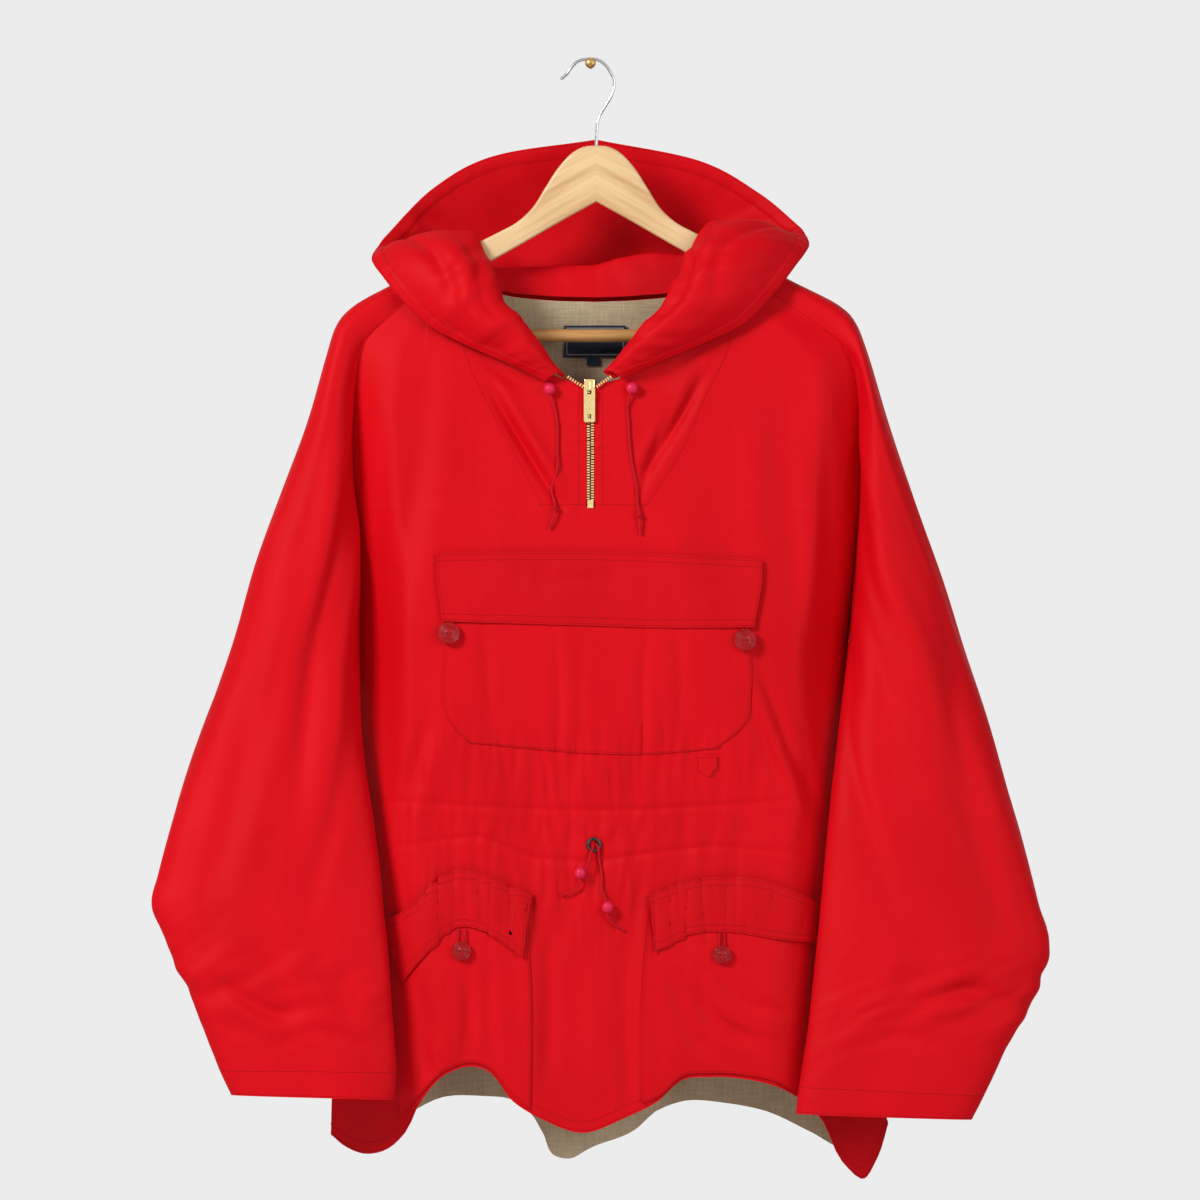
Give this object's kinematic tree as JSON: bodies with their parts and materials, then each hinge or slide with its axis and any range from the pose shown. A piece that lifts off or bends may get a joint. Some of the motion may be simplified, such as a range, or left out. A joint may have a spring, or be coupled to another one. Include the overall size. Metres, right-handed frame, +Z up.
{
  "type": "anorak pullover on a hanger",
  "caption": "Red hooded anorak pullover with a short neck zip, buttoned patch pockets and a drawcord waist, hanging open at neck, cuffs and hem from a wooden hanger on a wall pin.",
  "frame": {"origin": "inside of the hook's crown, where the wall pin carries the hanger", "axes": "+X to the right as seen from the front, -Y out of the front, +Z up"},
  "size_m": [0.8057, 0.1586, 1.0111],
  "materials": {
    "cloth": "soft satin weave, red",
    "lining": "slubby linen weave, beige",
    "label": "plain woven, navy",
    "brass": "polished",
    "button_resin": "glossy cast resin, dark red",
    "stopper_resin": "satin moulded, pink red",
    "cord": "braided elastic cord, red",
    "gunmetal": "dark plated eyelet",
    "birch": "clear lacquer over pale wood",
    "dowel": "clear lacquer, honey tan",
    "hook_wire": "bright plated wire",
    "pin_brass": "plain brass pin"
  },
  "bodies": {
    "garment": {"back_body": "cloth", "back_lining": "lining", "front_body": "cloth", "sleeve_left": "cloth", "sleeve_right": "cloth", "neck_inset_left": "cloth", "neck_inset_right": "cloth", "hood_left": "cloth", "hood_right": "cloth", "chest_pocket": "cloth", "chest_flap": "cloth", "low_pocket_left": "cloth", "low_pocket_right": "cloth", "low_flap_left": "cloth", "low_flap_right": "cloth", "loop_tab": "cloth", "neck_label": "label", "size_tab": "label", "zip_tape_left": "cloth", "zip_tape_right": "cloth", "zip_end_left": "brass", "zip_end_right": "brass", "zip_teeth": "brass", "zip_stop": "brass", "zip_slider": "brass", "chest_button_left": "button_resin", "chest_button_right": "button_resin", "low_button_left": "button_resin", "low_button_right": "button_resin", "chest_loop_left": "cord", "chest_loop_right": "cord", "low_loop_left": "cord", "low_loop_right": "cord", "waist_eyelet": "gunmetal", "hood_cord_left": "cord", "hood_cord_right": "cord", "hood_stopper_left": "stopper_resin", "hood_stopper_right": "stopper_resin", "hood_knot_left": "cord", "hood_knot_right": "cord", "waist_cord_left": "cord", "waist_cord_right": "cord", "waist_ball_left": "stopper_resin", "waist_ball_right": "stopper_resin", "hanger_wood": "birch", "hanger_bar": "dowel", "hanger_hook": "hook_wire", "wall_pin": "pin_brass"},
    "pull_tab": {"pull_tab": "brass"}
  },
  "joints": [
    {"name": "pull_tab_hinge", "type": "hinge", "parent": "garment", "child": "pull_tab", "pos_m": [-0.0009, -0.04366, -0.296], "axis": [-1, 0, 0], "range_deg": [0, 160]}
  ]
}
